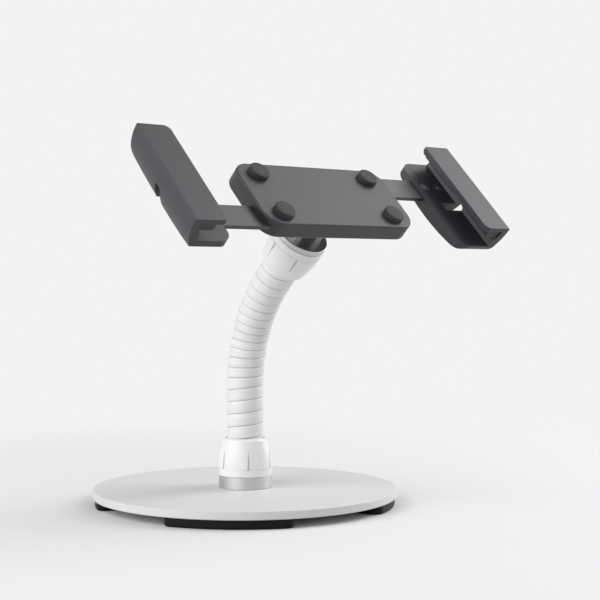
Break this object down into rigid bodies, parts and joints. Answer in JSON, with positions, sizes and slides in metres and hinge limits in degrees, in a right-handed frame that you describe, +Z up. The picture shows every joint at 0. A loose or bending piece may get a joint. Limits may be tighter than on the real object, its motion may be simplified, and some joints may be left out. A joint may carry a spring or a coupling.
{
  "type": "countertop tablet stand",
  "caption": "Countertop tablet stand: round weighted base, flexible ribbed neck and a tilting, turning holder whose two lipped jaws slide apart together.",
  "frame": {"origin": "on the surface that the stand rests on, in the middle of the round base, under the foot of the neck", "axes": "+Z up; the stand faces -Y; the jaws stand apart along X"},
  "size_m": [0.2852, 0.2445, 0.266],
  "materials": {
    "base_paint": "fine matt light grey powder paint",
    "foot_rubber": "matt black rubber",
    "ring_metal": "satin",
    "socket_metal": "turned",
    "fastener_steel": "zinc plated",
    "nut_white": "glossy white",
    "collet_nylon": "natural nylon",
    "neck_core": "turned",
    "sleeve_white": "satin white",
    "yoke_metal": "satin",
    "knob_black": "fine grain black",
    "holder_plastic": "fine grain anthracite",
    "jaw_plastic": "fine grain anthracite",
    "liner_rubber": "soft black rubber",
    "arm_steel": "black coated steel",
    "pinion_plastic": "natural acetal",
    "insert_brass": "turned"
  },
  "bodies": {
    "base": {"base_plate": "base_paint", "foot_front_left": "foot_rubber", "foot_front_right": "foot_rubber", "foot_back_left": "foot_rubber", "foot_back_right": "foot_rubber", "base_ring": "ring_metal", "neck_socket": "socket_metal", "base_bolt": "fastener_steel"},
    "lower_nut": {"lower_nut": "nut_white"},
    "neck_foot": {"neck_foot": "neck_core", "lower_collet": "collet_nylon"},
    "neck_1": {"neck_link_1": "neck_core", "sleeve_1": "sleeve_white"},
    "neck_2": {"neck_link_2": "neck_core", "sleeve_2": "sleeve_white"},
    "neck_3": {"neck_link_3": "neck_core", "sleeve_3": "sleeve_white"},
    "neck_4": {"neck_link_4": "neck_core", "sleeve_4": "sleeve_white"},
    "neck_5": {"neck_link_5": "neck_core", "sleeve_5": "sleeve_white", "upper_collet": "collet_nylon", "tilt_yoke": "yoke_metal", "tilt_washers": "collet_nylon", "tilt_pin": "fastener_steel"},
    "upper_nut": {"upper_nut": "nut_white"},
    "knuckle": {"tilt_knuckle": "yoke_metal", "swivel_retainer": "fastener_steel", "swivel_screw": "fastener_steel"},
    "tilt_knob": {"tilt_knob": "knob_black"},
    "holder": {"holder_back": "holder_plastic", "holder_front": "holder_plastic", "holder_screws": "fastener_steel", "rest_pads": "liner_rubber", "pinion_axle": "fastener_steel", "lock_insert": "insert_brass", "lock_shoe": "collet_nylon"},
    "pinion": {"drive_pinion": "pinion_plastic"},
    "jaw_right": {"jaw_right": "jaw_plastic", "jaw_liner_right": "liner_rubber", "arm_right": "arm_steel", "arm_screws_right": "fastener_steel"},
    "jaw_left": {"jaw_left": "jaw_plastic", "jaw_liner_left": "liner_rubber", "arm_left": "arm_steel", "arm_screws_left": "fastener_steel"},
    "lock_knob": {"lock_knob": "knob_black"}
  },
  "joints": [
    {"name": "lower_nut_turn", "type": "hinge", "parent": "base", "child": "lower_nut", "pos_m": [0, 0, 0.0217], "axis": [0, 0, 1], "range_deg": [0, 360]},
    {"name": "neck_turn", "type": "hinge", "parent": "base", "child": "neck_foot", "pos_m": [0, 0, 0.0217], "axis": [0, 0, 1], "range_deg": [-180, 180]},
    {"name": "neck_bend_lower", "type": "hinge", "parent": "neck_foot", "child": "neck_1", "pos_m": [0, 0, 0.06346], "axis": [1, 0, 0], "range_deg": [-15, 15], "deforming": ["sleeve_1"]},
    {"name": "neck_sway_lower", "type": "hinge", "parent": "neck_1", "child": "neck_2", "pos_m": [0, -0.00008, 0.09136], "axis": [0, 0.9993, 0.0381], "range_deg": [-15, 15], "deforming": ["sleeve_2"]},
    {"name": "neck_bend_middle", "type": "hinge", "parent": "neck_2", "child": "neck_3", "pos_m": [0, -0.00459, 0.11882], "axis": [1, 0, 0], "range_deg": [-15, 15], "deforming": ["sleeve_3"]},
    {"name": "neck_sway_upper", "type": "hinge", "parent": "neck_3", "child": "neck_4", "pos_m": [0, -0.01572, 0.14433], "axis": [0, 0.8596, 0.511], "range_deg": [-15, 15], "deforming": ["sleeve_4"]},
    {"name": "neck_bend_upper", "type": "hinge", "parent": "neck_4", "child": "neck_5", "pos_m": [0, -0.0328, 0.1663], "axis": [1, 0, 0], "range_deg": [-15, 15], "deforming": ["sleeve_5"]},
    {"name": "upper_nut_turn", "type": "hinge", "parent": "neck_5", "child": "upper_nut", "pos_m": [0, -0.06236, 0.19585], "axis": [0, -0.7071, 0.7071], "range_deg": [-360, 0]},
    {"name": "head_tilt", "type": "hinge", "parent": "neck_5", "child": "knuckle", "pos_m": [0, -0.07297, 0.20646], "axis": [1, 0, 0], "range_deg": [-35, 35]},
    {"name": "tilt_knob_turn", "type": "hinge", "parent": "neck_5", "child": "tilt_knob", "pos_m": [0, -0.07297, 0.20646], "axis": [1, 0, 0], "range_deg": [0, 360]},
    {"name": "head_turn", "type": "hinge", "parent": "knuckle", "child": "holder", "pos_m": [0, -0.08202, 0.21551], "axis": [0, -0.7071, 0.7071], "continuous": true},
    {"name": "jaw_right_slide", "type": "slide", "parent": "holder", "child": "jaw_right", "axis": [1, 0, 0], "range_m": [-0.029, 0.029]},
    {"name": "jaw_left_slide", "type": "slide", "parent": "holder", "child": "jaw_left", "axis": [-1, 0, 0], "range_m": [-0.029, 0.029]},
    {"name": "pinion_spin", "type": "hinge", "parent": "holder", "child": "pinion", "pos_m": [0, -0.08661, 0.22011], "axis": [0, -0.7071, 0.7071], "range_deg": [-185, 185]},
    {"name": "lock_knob_turn", "type": "hinge", "parent": "holder", "child": "lock_knob", "pos_m": [0.046, -0.06717, 0.22612], "axis": [0, -0.7071, 0.7071], "range_deg": [-360, 0]}
  ],
  "couplings": [
    {"joint": "jaw_left_slide", "follows": "jaw_right_slide", "ratio": 1},
    {"joint": "pinion_spin", "follows": "jaw_right_slide", "rad_per_m": -111.11}
  ]
}
